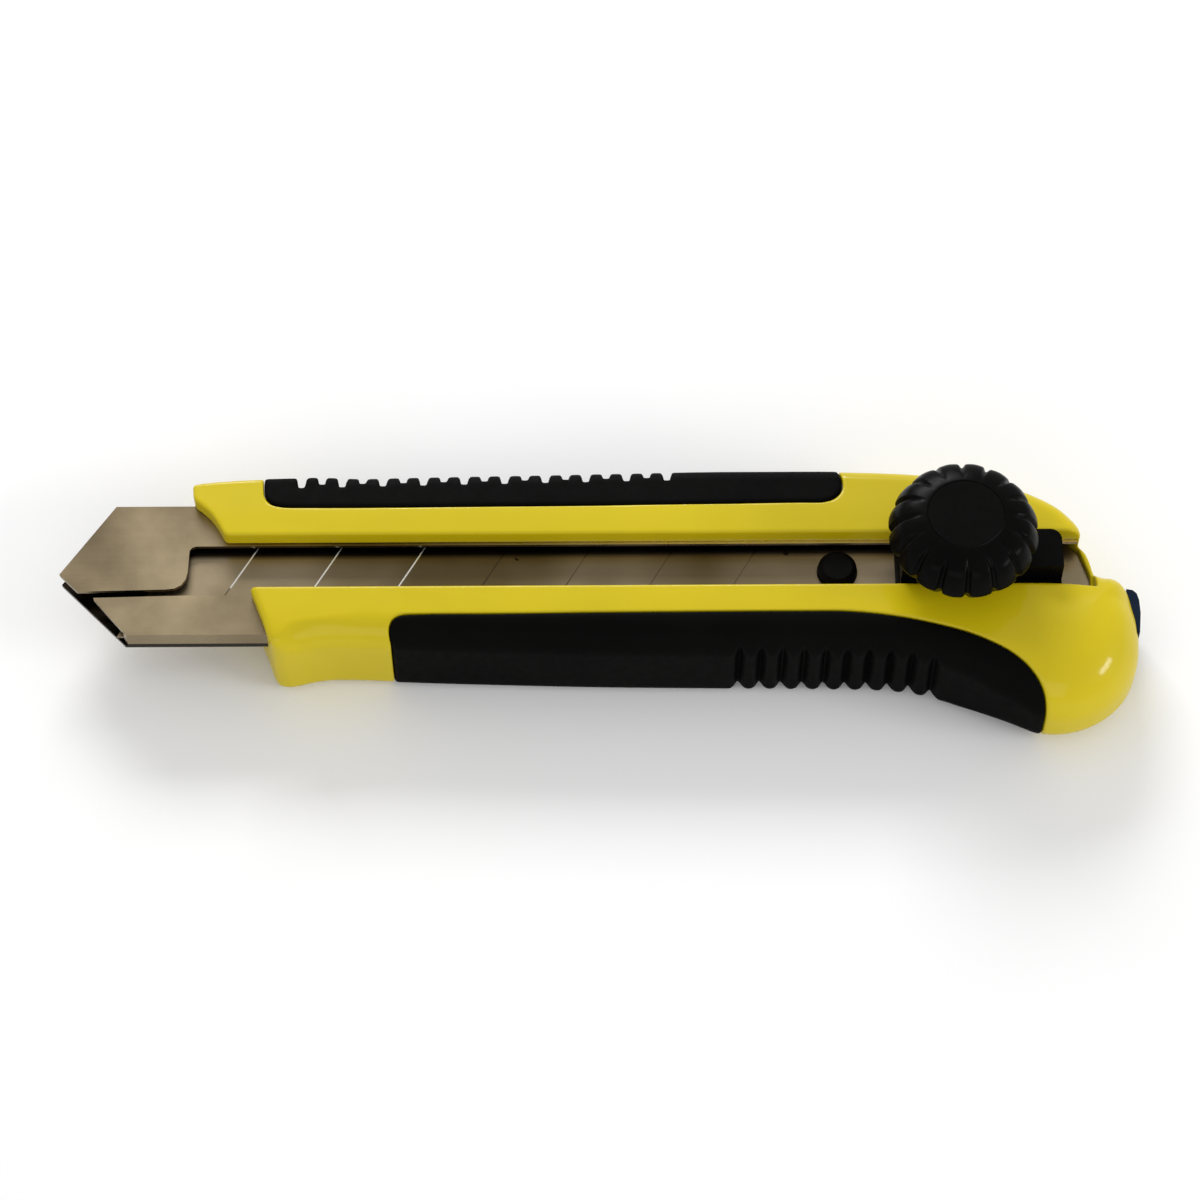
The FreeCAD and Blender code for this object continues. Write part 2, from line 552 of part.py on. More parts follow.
stud = new_body("clamp_stud")
stud.setExpression(".Placement.Base.x", "dims.knob_x")
stud_profile = new_sketch(stud, "stud_profile", "XZ_Plane")
polygon(stud_profile, [
    ("0", "dims.carrier_bottom"), ("dims.stud_head", "dims.carrier_bottom"),
    ("dims.stud_head", "dims.carrier_bottom + dims.carrier_thick"),
    ("dims.stud_radius", "dims.carrier_bottom + dims.carrier_thick"),
    ("dims.stud_radius", "dims.stud_top - 0.4"), ("dims.stud_radius - 0.4", "dims.stud_top"),
    ("0", "dims.stud_top")])
revolve(stud, "stud_turned", stud_profile)
stud_thread = new_sketch(stud, "stud_thread_profile", "XZ_Plane")
polygon(stud_thread, [
    ("dims.stud_radius + 0.2", "dims.knob_under_z + 0.7"),
    ("dims.stud_radius - 0.22", "dims.knob_under_z + 1.0"),
    ("dims.stud_radius + 0.2", "dims.knob_under_z + 1.3")])
thread_cut = stud.newObject("PartDesign::Groove", "stud_thread_groove")
thread_cut.Profile = stud_thread
thread_cut.ReferenceAxis = (stud_thread, ["V_Axis"])
thread_cut.Angle = 360.0
doc.recompute()
before = stud.Shape.Volume
thread_rows = stud.newObject("PartDesign::LinearPattern", "stud_thread")
thread_rows.Originals = [thread_cut]
thread_rows.Direction = (stud_thread, ["V_Axis"])
thread_rows.Length = 4.9
thread_rows.Occurrences = 8
stud.Tip = thread_rows
doc.recompute()
if stud.Shape.Volume > before - 1e-3:
    raise RuntimeError("stud thread pattern cut nothing")

# leaf spring: a bowed steel strip that keeps the carrier pressed up against the flanges
z_low = dim("channel_bottom") + dim("sheet") + 0.03
z_high = dim("carrier_bottom")
leaf_x = [27.0, 34.0, 41.0, 48.0, 55.0]
leaf_low = [V(leaf_x[0], -3, z_high - 0.12), V(leaf_x[1], -3, z_low + 0.02),
            V(leaf_x[2], -3, z_high - 0.12), V(leaf_x[3], -3, z_low + 0.02),
            V(leaf_x[4], -3, z_high - 0.12)]
leaf_up = [p + V(0, 0, 0.11) for p in reversed(leaf_low)]
leaf = Part.Face(Part.makePolygon(leaf_low + leaf_up + [leaf_low[0]])).extrude(V(0, 6, 0))
solid_feature("slider_spring", leaf)

# ---------------------------------------------------------------- knob group
washer = new_body("thrust_washer")
washer.setExpression(".Placement.Base.x", "dims.knob_x")
ring = new_sketch(washer, "washer_ring", "XY_Plane", "dims.block_top + dims.washer_gap")
circle(ring, "0", "0", "dims.washer_radius")
circle(ring, "0", "0", "dims.stud_radius + dims.stud_clear")
pad(washer, "washer_pad", ring, "dims.washer_thick")

knob = new_body("knob")
knob.setExpression(".Placement.Base.x", "dims.knob_x")
knob_profile = new_sketch(knob, "knob_profile", "XZ_Plane")
polygon(knob_profile, [
    ("0", "dims.knob_under_z"), ("dims.knob_under_r - 0.5", "dims.knob_under_z"),
    ("dims.knob_under_r", "dims.knob_under_z + 0.5"), ("dims.knob_wide_r", "dims.knob_wide_z"),
    ("dims.knob_wide_r - 0.1", "dims.knob_wide_z + 0.5"), ("dims.knob_upper_r", "dims.knob_upper_z"),
    ("dims.knob_rim_r + 0.8", "dims.knob_upper_z + 0.8"), ("dims.knob_rim_r", "dims.knob_rim_z"),
    ("dims.knob_face_r", "dims.knob_face_z - 0.05"), ("0", "dims.knob_face_z - 0.05")])
revolve(knob, "knob_turned", knob_profile)
lobe = new_sketch(knob, "lobe_notch", "XY_Plane", "dims.knob_face_z + 1")
circle(lobe, "dims.knob_wide_r + 0.25", "0", "dims.lobe_cut_r")
lobe_cut = pocket(knob, "lobe_cut", lobe, "20")
before = knob.Shape.Volume
lobes = knob.newObject("PartDesign::PolarPattern", "knob_lobes")
lobes.Originals = [lobe_cut]
lobes.Axis = (lobe, ["N_Axis"])
lobes.Angle = 360.0
lobes.setExpression("Occurrences", "dims.lobe_count")
knob.Tip = lobes
doc.recompute()
if knob.Shape.Volume > before - 1.0:
    raise RuntimeError("lobe pattern cut nothing")
nut_seat = new_sketch(knob, "nut_seat", "XY_Plane", "dims.knob_under_z")
hexagon = [("%.6f * dims.nut_flat" % (math.cos(math.pi * k / 3) / math.cos(math.pi / 6)),
            "%.6f * dims.nut_flat" % (math.sin(math.pi * k / 3) / math.cos(math.pi / 6))
            if k % 3 else "0") for k in range(6)]
polygon(nut_seat, hexagon)
pocket(knob, "nut_pocket", nut_seat, "dims.nut_height + 0.1", True)
stud_room = new_sketch(knob, "stud_room", "XY_Plane", "dims.knob_under_z")
circle(stud_room, "0", "0", "dims.stud_radius + 0.35")
pocket(knob, "stud_bore", stud_room, "20", True)
cap_room = new_sketch(knob, "cap_room", "XY_Plane", "dims.knob_face_z")
circle(cap_room, "0", "0", "dims.knob_face_r - 0.3")
pocket(knob, "cap_recess", cap_room, "dims.cap_seat")

nut = new_body("knob_nut")
nut.setExpression(".Placement.Base.x", "dims.knob_x")
nut_plan = new_sketch(nut, "nut_plan", "XY_Plane", "dims.knob_under_z + 0.05")
polygon(nut_plan, [(hx.replace("dims.nut_flat", "(dims.nut_flat - 0.02)"),
                    hy.replace("dims.nut_flat", "(dims.nut_flat - 0.02)")) for hx, hy in hexagon])
circle(nut_plan, "0", "0", "dims.stud_radius + dims.stud_clear")
pad(nut, "nut_pad", nut_plan, "dims.nut_height")

cap = new_body("knob_cap")
cap.setExpression(".Placement.Base.x", "dims.knob_x")
cap_profile = new_sketch(cap, "cap_profile", "XZ_Plane")
polygon(cap_profile, [
    ("0", "dims.knob_face_z - dims.cap_seat"),
    ("dims.knob_face_r - 0.32", "dims.knob_face_z - dims.cap_seat"),
    ("dims.knob_face_r - 0.32", "dims.knob_face_z - 0.08"),
    ("dims.knob_face_r - 0.4", "dims.knob_face_z"), ("0", "dims.knob_face_z")])
revolve(cap, "cap_turned", cap_profile)

# ---------------------------------------------------------------- end cap
end_cap = new_body("end_cap")
plate_plan = new_sketch(end_cap, "cap_plate_plan", "XY_Plane", "dims.cap_low_z")
outer = "dims.tail_x + dims.cap_plate"
polygon(plate_plan, [
    ("dims.tail_x", "dims.cap_low_y"), (outer + " - 0.3", "dims.cap_low_y"),
    (outer, "dims.cap_low_y + 2.9"), (outer + " - 0.05", "dims.cap_high_y - 1.65"),
    (outer + " - 0.3", "dims.cap_high_y - 0.65"), (outer + " - 0.8", "dims.cap_high_y - 0.15"),
    ("dims.tail_x", "dims.cap_high_y")])
pad(end_cap, "cap_plate_pad", plate_plan, "dims.cap_high_z - dims.cap_low_z")
plug_plan = new_sketch(end_cap, "plug_plan", "YZ_Plane", "dims.tail_x - dims.plug_len")
rectangle(plug_plan, "dims.plug_low_y", "dims.plug_low_z", "dims.plug_high_y", "dims.plug_high_z")
pad(end_cap, "plug_pad", plug_plan, "dims.plug_len")
mouth = new_sketch(end_cap, "blade_mouth_plan", "YZ_Plane", "dims.tail_x - dims.plug_len - 1")
rectangle(mouth, "dims.plug_low_y + 1", "dims.plug_low_z + 1.7",
          "dims.plug_high_y - 1", "dims.plug_low_z + 1.7 + dims.blade_mouth")
pocket(end_cap, "blade_mouth_cut", mouth, "7", True)

# ---------------------------------------------------------------- check and write
doc.recompute()
NODES = ["handle_body", "rear_cover", "spine_grip", "belly_grip", "cover_screws",
         "screw_inserts", "channel_pins", "blade_channel", "snap_blade", "blade_carrier",
         "carrier_peg", "slider_block", "clamp_stud", "slider_spring", "thrust_washer",
         "knob", "knob_nut", "knob_cap", "end_cap"]
for item in doc.Objects:
    if "Invalid" in item.State or "Error" in item.State:
        raise RuntimeError("failed object: %s %s" % (item.Name, item.State))
parts = {}
for node in NODES:
    item = doc.getObjectsByLabel(node)[0]
    shape = item.Shape
    if shape.isNull() or not shape.isValid() or not shape.Solids:
        raise RuntimeError("bad shape: " + node)
    parts[node] = shape
os.makedirs("parts", exist_ok=True)
for node, shape in parts.items():
    shape.exportStep("parts/%s.step" % node)
    bb = shape.BoundBox
    print("%-14s solids %d vol %9.2f  x %.2f %.2f  y %.2f %.2f  z %.2f %.2f" % (
        node, len(shape.Solids), shape.Volume, bb.XMin, bb.XMax, bb.YMin, bb.YMax,
        bb.ZMin, bb.ZMax))
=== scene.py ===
import json
import math
import bpy
import numpy as np
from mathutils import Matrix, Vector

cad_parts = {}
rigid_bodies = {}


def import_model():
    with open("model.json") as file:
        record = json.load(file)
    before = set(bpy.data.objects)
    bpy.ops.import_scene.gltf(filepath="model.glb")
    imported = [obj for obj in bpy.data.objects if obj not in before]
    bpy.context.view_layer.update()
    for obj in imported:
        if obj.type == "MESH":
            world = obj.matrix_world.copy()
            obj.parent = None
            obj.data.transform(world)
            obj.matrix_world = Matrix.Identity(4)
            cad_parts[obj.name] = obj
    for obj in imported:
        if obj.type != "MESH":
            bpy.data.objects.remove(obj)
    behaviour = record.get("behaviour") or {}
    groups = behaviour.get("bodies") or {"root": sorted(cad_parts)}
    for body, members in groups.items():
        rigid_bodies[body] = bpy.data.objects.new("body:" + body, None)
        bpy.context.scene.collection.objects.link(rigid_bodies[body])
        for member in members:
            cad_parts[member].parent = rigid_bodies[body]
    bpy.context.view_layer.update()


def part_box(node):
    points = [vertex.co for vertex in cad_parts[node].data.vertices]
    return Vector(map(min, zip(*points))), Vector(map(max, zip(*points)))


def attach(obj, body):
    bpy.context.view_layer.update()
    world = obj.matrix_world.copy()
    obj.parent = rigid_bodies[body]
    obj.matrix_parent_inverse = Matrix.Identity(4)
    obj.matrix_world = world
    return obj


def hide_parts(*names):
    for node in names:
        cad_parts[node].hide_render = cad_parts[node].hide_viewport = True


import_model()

import openvdb
from mathutils import Matrix, Vector

# Modelling numbers are millimetres, with y measured from the centre line of the blade slot.
# SLOT_Y is how far that line lies from the object's own centre line, towards the spine.
knob_low, knob_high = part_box("knob")
SLOT_Y = 500.0 * (knob_low[1] + knob_high[1])
KNOB_X = 500.0 * (knob_low[0] + knob_high[0])
MM = 0.001


# ------------------------------------------------------------------ mesh helpers
def add_mesh(name, verts_mm, faces):
    """New smooth object from millimetre points given about the slot line."""
    pts = np.asarray(verts_mm, dtype=np.float64).copy()
    pts[:, 1] += SLOT_Y
    mesh = bpy.data.meshes.new(name)
    mesh.from_pydata((pts * MM).tolist(), [], [tuple(int(i) for i in f) for f in faces])
    mesh.update()
    mesh.shade_smooth()
    obj = bpy.data.objects.new(name, mesh)
    bpy.context.scene.collection.objects.link(obj)
    return obj


def add_quads(name, verts_mm, quads):
    """The same for many quads, filled in as arrays because that is quick."""
    pts = np.asarray(verts_mm, dtype=np.float32).copy()
    pts[:, 1] += SLOT_Y
    mesh = bpy.data.meshes.new(name)
    count = len(quads)
    mesh.vertices.add(len(pts))
    mesh.vertices.foreach_set("co", (pts * MM).ravel())
    mesh.loops.add(count * 4)
    mesh.loops.foreach_set("vertex_index", quads.astype(np.int32).ravel())
    mesh.polygons.add(count)
    mesh.polygons.foreach_set("loop_start", np.arange(0, count * 4, 4, dtype=np.int32))
    mesh.polygons.foreach_set("loop_total", np.full(count, 4, dtype=np.int32))
    mesh.update(calc_edges=True)
    mesh.validate()
    mesh.shade_smooth()
    obj = bpy.data.objects.new(name, mesh)
    bpy.context.scene.collection.objects.link(obj)
    return obj


def smooth_curve(points, per_span=8):
    """Centripetal Catmull-Rom curve through the points, ends included."""
    p = np.array(points, dtype=float)
    p = np.vstack([2 * p[0] - p[1], p, 2 * p[-1] - p[-2]])
    out = []
    for i in range(1, len(p) - 2):
        a, b, c, d = p[i - 1], p[i], p[i + 1], p[i + 2]
        t0 = 0.0
        t1 = t0 + math.sqrt(np.linalg.norm(b - a))
        t2 = t1 + math.sqrt(np.linalg.norm(c - b))
        t3 = t2 + math.sqrt(np.linalg.norm(d - c))
        for k in range(per_span):
            t = t1 + (t2 - t1) * k / per_span
            a1 = (t1 - t) / (t1 - t0) * a + (t - t0) / (t1 - t0) * b
            a2 = (t2 - t) / (t2 - t1) * b + (t - t1) / (t2 - t1) * c
            a3 = (t3 - t) / (t3 - t2) * c + (t - t2) / (t3 - t2) * d
            b1 = (t2 - t) / (t2 - t0) * a1 + (t - t0) / (t2 - t0) * a2
            b2 = (t3 - t) / (t3 - t1) * a2 + (t - t1) / (t3 - t1) * a3
            out.append((t2 - t) / (t2 - t1) * b1 + (t - t1) / (t2 - t1) * b2)
    out.append(p[-2])
    return [tuple(q) for q in out]


def plan_distance(poly, gx, gy):
    """Signed distance to a closed plan polygon on the grid: negative inside."""
    best = np.full(gx.shape, 1e9)
    inside = np.zeros(gx.shape, dtype=bool)
    count = len(poly)
    for i in range(count):
        x0, y0 = poly[i]
        x1, y1 = poly[(i + 1) % count]
        dx, dy = x1 - x0, y1 - y0
        size = dx * dx + dy * dy
        if size < 1e-12:
            continue
        t = np.clip(((gx - x0) * dx + (gy - y0) * dy) / size, 0.0, 1.0)
        np.minimum(best, (gx - x0 - t * dx) ** 2 + (gy - y0 - t * dy) ** 2, out=best)
        if dy != 0.0:
            crosses = ((y0 > gy) != (y1 > gy)) & (gx < dx * (gy - y0) / dy + x0)
            inside ^= crosses
    return np.where(inside, -np.sqrt(best), np.sqrt(best)).astype(np.float32)


def smax(a, b, k):
    """Larger of two distances with a blend of width k: rounds the shared edge."""
    h = np.clip(k - np.abs(a - b), 0.0, None) / k
    return np.maximum(a, b) + h * h * k * 0.25


def ramp(x, low, high):
    """Smooth step from 0 at low to 1 at high."""
    t = np.clip((x - low) / (high - low), 0.0, 1.0)
    return t * t * (3.0 - 2.0 * t)


class Grid:
    """Block of sample points for one distance field."""

    def __init__(self, low, high, step):
        self.low = np.array(low, dtype=float)
        self.step = step
        shape = np.ceil((np.array(high) - self.low) / step).astype(int) + 1
        axes = [self.low[i] + step * np.arange(shape[i]) for i in range(3)]
        self.x = axes[0].astype(np.float32)[:, None, None]
        self.y = axes[1].astype(np.float32)[None, :, None]
        self.z = axes[2].astype(np.float32)[None, None, :]
        self.gx, self.gy = np.meshgrid(axes[0], axes[1], indexing="ij")

    def plan(self, poly):
        """Distance to an upright wall over a plan polygon."""
        return plan_distance(poly, self.gx, self.gy)[:, :, None]

    def box(self, x0, x1, y0, y1, z0, z1):
        """Distance to a sharp box."""
        qx = np.maximum(x0 - self.x, self.x - x1)
        qy = np.maximum(y0 - self.y, self.y - y1)
        qz = np.maximum(z0 - self.z, self.z - z1)
        return np.maximum(np.maximum(qx, qy), qz)

    def near(self, x, reach):
        """Index range of the samples within reach of a station along the knife."""
        return slice(max(0, int((x - reach - self.low[0]) / self.step)),
                     int((x + reach - self.low[0]) / self.step))

    def mesh(self, name, field):
        """Zero surface of the field as an object."""
        vol = openvdb.FloatGrid(float(np.max(field)))
        vol.copyFromArray(np.ascontiguousarray(field, dtype=np.float32))
        points, quads = vol.convertToQuads(isovalue=0.0)
        points = points * self.step + self.low
        return add_quads(name, points, quads[:, ::-1])


# ------------------------------------------------------------------ handle outline
SPINE = [(-53.2, 11.45), (-52.9, 11.8), (-52.2, 12.0), (-48.0, 12.45), (-44.0, 12.75),
         (-36.0, 13.1), (-28.0, 13.35), (-18.0, 13.55), (-8.0, 13.7), (3.0, 13.9),
         (14.0, 14.1), (22.0, 14.1), (30.0, 14.07), (36.0, 13.9), (41.0, 13.6),
         (46.0, 12.95), (51.0, 12.1), (55.0, 10.95), (58.0, 9.4), (60.0, 7.95),
         (61.4, 6.4), (62.3, 5.1), (62.65, 3.85)]
TAIL = [(62.9, 3.6), (63.4, 2.9), (63.85, 1.6), (64.15, 0.3), (64.6, -0.6), (65.3, -0.95),
        (66.1, -1.0), (67.0, -1.3)]
BELLY = [(67.8, -1.9), (68.5, -2.95), (69.05, -4.45), (69.55, -6.5), (69.72, -8.8),
         (69.45, -11.8), (68.6, -14.4), (67.2, -16.6), (65.1, -18.5), (62.4, -19.9),
         (59.8, -20.52), (58.0, -20.55), (56.0, -20.1), (53.0, -18.5), (50.0, -17.0),
         (47.0, -15.65), (44.0, -14.45), (40.5, -13.5), (36.0, -12.98), (30.0, -12.8),
         (22.0, -12.65), (12.0, -12.5), (0.0, -12.3), (-10.0, -12.0), (-20.0, -11.65),
         (-28.0, -11.3), (-32.5, -11.12), (-35.2, -11.15), (-37.5, -11.5), (-39.2, -11.95),
         (-40.7, -12.12), (-41.9, -11.75), (-42.6, -10.6), (-43.2, -8.8), (-43.9, -7.0),
         (-44.55, -5.3)]
FRONT = [(-45.0, -4.2), (-46.6, -0.6), (-48.35, 3.4), (-48.85, 4.2), (-49.72, 5.8),
         (-50.75, 7.3), (-51.93, 8.45), (-52.75, 9.2), (-53.05, 9.9)]


def outline():
    return (smooth_curve(SPINE, 6) + smooth_curve(TAIL, 6)
            + smooth_curve(BELLY, 6) + smooth_curve(FRONT, 6))


THICK = 14.0        # height of the handle's face
FLANGE = 11.4       # top of the steel channel's flanges
CHANNEL_LOW = 8.1   # floor of the room for the channel
SLOT_LOW = 9.7      # lip of the slot at the tail
SLOT = 3.85         # half width of the slot through the moulding
SLOT_END = 64.0
STEP = 0.2          # sample spacing
GAP = 0.06          # half the joint line between two mouldings

grid = Grid((-54.5, -21.9, -1.0), (70.6, 15.3, 15.2), STEP)
plan = grid.plan(outline())

# rounding of the outer edges: tight round the nose, wide round the bulb
bulb = ramp(grid.x, 44.0, 60.0) * ramp(-grid.y, -3.5, 1.0)
guard = ramp(-grid.x, 30.0, 38.0)
nose = ramp(-grid.x, 38.0, 50.0) * ramp(grid.y, 0.0, 4.0)
low_side = ramp(-grid.y, 2.0, 6.0)
deep = ramp(-grid.y, 6.0, 10.0)
behind = ramp(grid.x, -43.0, -39.0)
top_round = (2.1 + 1.6 * low_side * (1.0 - guard) + 3.6 * bulb - 1.1 * guard
             + 2.6 * guard * deep * behind - 0.5 * nose)
low_round = 2.2 + 2.2 * bulb

# the top is gently crowned, dished beside the slot's tail and lifted over the bulb
crown = 0.35 * ramp(np.abs(grid.y), 6.0, 14.0)
dish = 0.45 * np.exp(-(((grid.x - 60.5) / 3.4) ** 2 + ((grid.y + 6.0) / 2.6) ** 2))
swell = 0.25 * np.exp(-(((grid.x - 61.0) / 6.5) ** 2 + ((grid.y + 12.5) / 5.0) ** 2))
top_z = THICK - 0.05 - crown - dish + swell


def rounded_slab(side, inset):
    """The envelope drawn in by side all round and by inset above and below."""
    d = plan + side
    over_top = grid.z - (top_z - inset)
    q0, q1 = d + top_round, over_top + top_round
    upper = (np.sqrt(np.maximum(q0, 0) ** 2 + np.maximum(q1, 0) ** 2)
             + np.minimum(np.maximum(q0, q1), 0) - top_round)
    under = inset - grid.z
    q0, q1 = d + low_round, under + low_round
    lower = (np.sqrt(np.maximum(q0, 0) ** 2 + np.maximum(q1, 0) ** 2)
             + np.minimum(np.maximum(q0, q1), 0) - low_round)
    return np.maximum(upper, lower)


skin = rounded_slab(0.0, 0.0)

# soft grip areas in plan
SPINE_GRIP = (smooth_curve([(-43.8, 16.0), (-43.8, 11.2), (-43.55, 9.6), (-42.7, 8.55),
                            (-41.2, 8.1), (-38.0, 8.0), (-13.0, 8.05), (0.0, 8.15),
                            (13.0, 8.3), (26.0, 8.45), (29.2, 8.5), (30.7, 9.1),
                            (31.6, 10.3), (31.7, 11.8), (31.4, 13.2), (30.9, 16.0)], 6))
BELLY_GRIP = (smooth_curve([(-26.0, -16.0), (-26.35, -12.5), (-26.8, -10.9), (-27.0, -9.8),
                            (-26.6, -8.8), (-25.6, -8.2), (-23.0, -8.05), (-13.0, -8.03),
                            (0.0, -7.93), (13.0, -7.87), (26.0, -7.86), (32.0, -7.95),
                            (38.2, -8.7), (43.3, -9.85), (47.0, -11.0), (50.0, -12.35),
                            (52.6, -13.9), (54.8, -15.9), (56.3, -18.2), (56.9, -20.5),
                            (56.9, -25.0)], 6) + [(-26.0, -25.0)])
spine_area = grid.plan(SPINE_GRIP)
belly_area = grid.plan(BELLY_GRIP)
spine_core = rounded_slab(2.7, 1.3)
belly_core = rounded_slab(1.75, 1.3)

# ---- soft grips, with deep and shallow notches by turns along the spine
spine_grip = smax(np.maximum(skin, 0.1 - spine_core), spine_area + GAP, 0.4)
for i in range(19):
    x = -38.9 + 2.652 * i
    depth = 1.95 if i % 2 == 0 else 1.45
    floor_y = 13.05 + 0.0195 * (x + 40.0) - depth
    half = 0.36 + 0.18 * (grid.y - floor_y)
    notch = np.maximum(np.abs(grid.x - x) - half, floor_y - grid.y)
    notch = np.maximum(notch, 2.6 - grid.z)
    near = grid.near(x, 2.5)
    spine_grip[near] = smax(spine_grip[near], -notch[near], 0.3)
spine_piece = grid.mesh("grip_spine", spine_grip)
del spine_grip

belly_grip = smax(np.maximum(skin, 0.1 - belly_core), belly_area + GAP, 0.4)
# the belly's grooves are V notches that follow the rounding of the under edge
under_curve = np.clip(2.2 - grid.z, 0.0, 2.0)
under_inset = np.minimum(2.2 - np.sqrt(4.84 - under_curve ** 2), 1.1)
for i in range(10):
    x = 17.9 + 2.77 * i
    near = grid.near(x, 3.0)
    inward = -plan[near] - under_inset + 0.3 * np.maximum(grid.z - 10.0, 0.0)
    notch = (np.abs(grid.x[near] - x) - 0.82 + 0.66 * inward) / 1.2
    notch = np.maximum(notch, grid.z - 12.6)
    notch = np.maximum(notch, grid.y + 9.0)
    belly_grip[near] = smax(belly_grip[near], -notch, 0.45)
belly_piece = grid.mesh("grip_belly", belly_grip)
del belly_grip

# ---- hard moulding
hard = smax(skin + 0.08, -np.maximum(spine_area - GAP, -spine_core), 0.2)
hard = smax(hard, -np.maximum(belly_area - GAP, -belly_core), 0.2)
channel_area = grid.plan([(-80, 9.7), (-80, -9.7), (63.7, -9.7), (63.65, -0.6), (62.45, 3.4),
                          (61.45, 4.6), (60.4, 6.2), (58.5, 7.8), (54.5, 9.7)])
channel_room = np.maximum(channel_area, np.maximum(CHANNEL_LOW - grid.z, grid.z - FLANGE))
hard = np.maximum(hard, -channel_room)
slot_room = np.maximum(np.maximum(np.abs(grid.y) - SLOT, SLOT_LOW - grid.z),
                       grid.x - SLOT_END)
hard = smax(hard, -slot_room, 0.4)
hard = smax(hard, -grid.box(68.3, 80, -8.5, 5.0, 2.05, 8.75), 0.3)       # end cap's plate
hard = np.maximum(hard, -grid.box(59.8, 80, -7.95, -2.45, 2.75, 7.35))   # end cap's plug
COVER = [(-47.5, 7.2), (-47.0, 3.7), (-40.0, -7.2), (57.5, -7.2), (57.5, 7.2)]
cover_area = grid.plan(COVER)
hard = smax(hard, -np.maximum(cover_area - 0.08, grid.z - 2.48), 0.25)
front_piece = grid.mesh("moulding", hard)
del hard
cover = smax(cover_area + GAP, np.maximum(grid.z - 2.4, -grid.z), 0.6)
for x, y in [(-43.5, 4.2), (-38.5, -4.4), (53.0, 4.3), (53.0, -4.3)]:   # screws
    radial = np.sqrt((grid.x - x) ** 2 + (grid.y - y) ** 2)
    cover = smax(cover, -np.maximum(radial - 2.5, grid.z - 1.65), 0.3)
    cover = np.maximum(cover, 1.4 - radial)
rear_piece = grid.mesh("back_plate", cover[:, :, :22])


# ------------------------------------------------------------------ knob
def knob_mesh():
    """Sixteen lobes that run down the tapered side and fade at the flat face."""
    # radius, height and how strongly the lobes show there
    profile = [(2.9, 16.76, 0), (5.5, 16.76, 0), (7.3, 16.78, 0.2), (7.85, 16.95, 0.6),
               (8.15, 17.35, 1), (8.5, 18.0, 1), (8.9, 18.7, 1), (9.25, 19.3, 1),
               (9.46, 19.75, 1), (9.5, 20.05, 1), (9.42, 20.5, 1), (9.2, 21.2, 1),
               (8.92, 21.9, 1), (8.6, 22.5, 1), (8.3, 22.95, 1), (7.95, 23.3, 0.95),
               (7.4, 23.65, 0.8), (6.8, 23.95, 0.55), (6.2, 24.18, 0.3), (5.7, 24.33, 0.1),
               (5.2, 24.44, 0), (4.95, 24.46, 0), (4.9, 24.42, 0), (4.9, 23.65, 0)]
    curve = smooth_curve([(r, z, w) for r, z, w in profile], 4)
    lobes, fine = 16, 22
    count = lobes * fine
    verts, faces = [], []
    for r, z, w in curve:
        for j in range(count):
            phase = (j % fine) / fine
            angle = 2 * math.pi * j / count
            away = min(phase, 1.0 - phase) * 2 * math.pi * 9.5 / lobes
            valley = 0.58 * math.exp(-((away / 0.40) ** 3.0))
            bulge = 0.07 * math.cos(2 * math.pi * (phase - 0.5))
            radius = r * (1.0 + 0.016 * w) - w * (valley - bulge + 0.08)
            verts.append((KNOB_X + radius * math.cos(angle), radius * math.sin(angle), z))
    rows = len(curve)
    for i in range(rows - 1):
        for j in range(count):
            k = (j + 1) % count
            faces.append((i * count + j, i * count + k, (i + 1) * count + k, (i + 1) * count + j))
    return add_mesh("knob_lobed", verts, faces)


knob_piece = knob_mesh()

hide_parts("handle_body")
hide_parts("rear_cover")
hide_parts("spine_grip")
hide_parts("belly_grip")
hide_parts("knob")
for piece in (front_piece, rear_piece, spine_piece, belly_piece):
    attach(piece, "handle")
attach(knob_piece, "wheel")


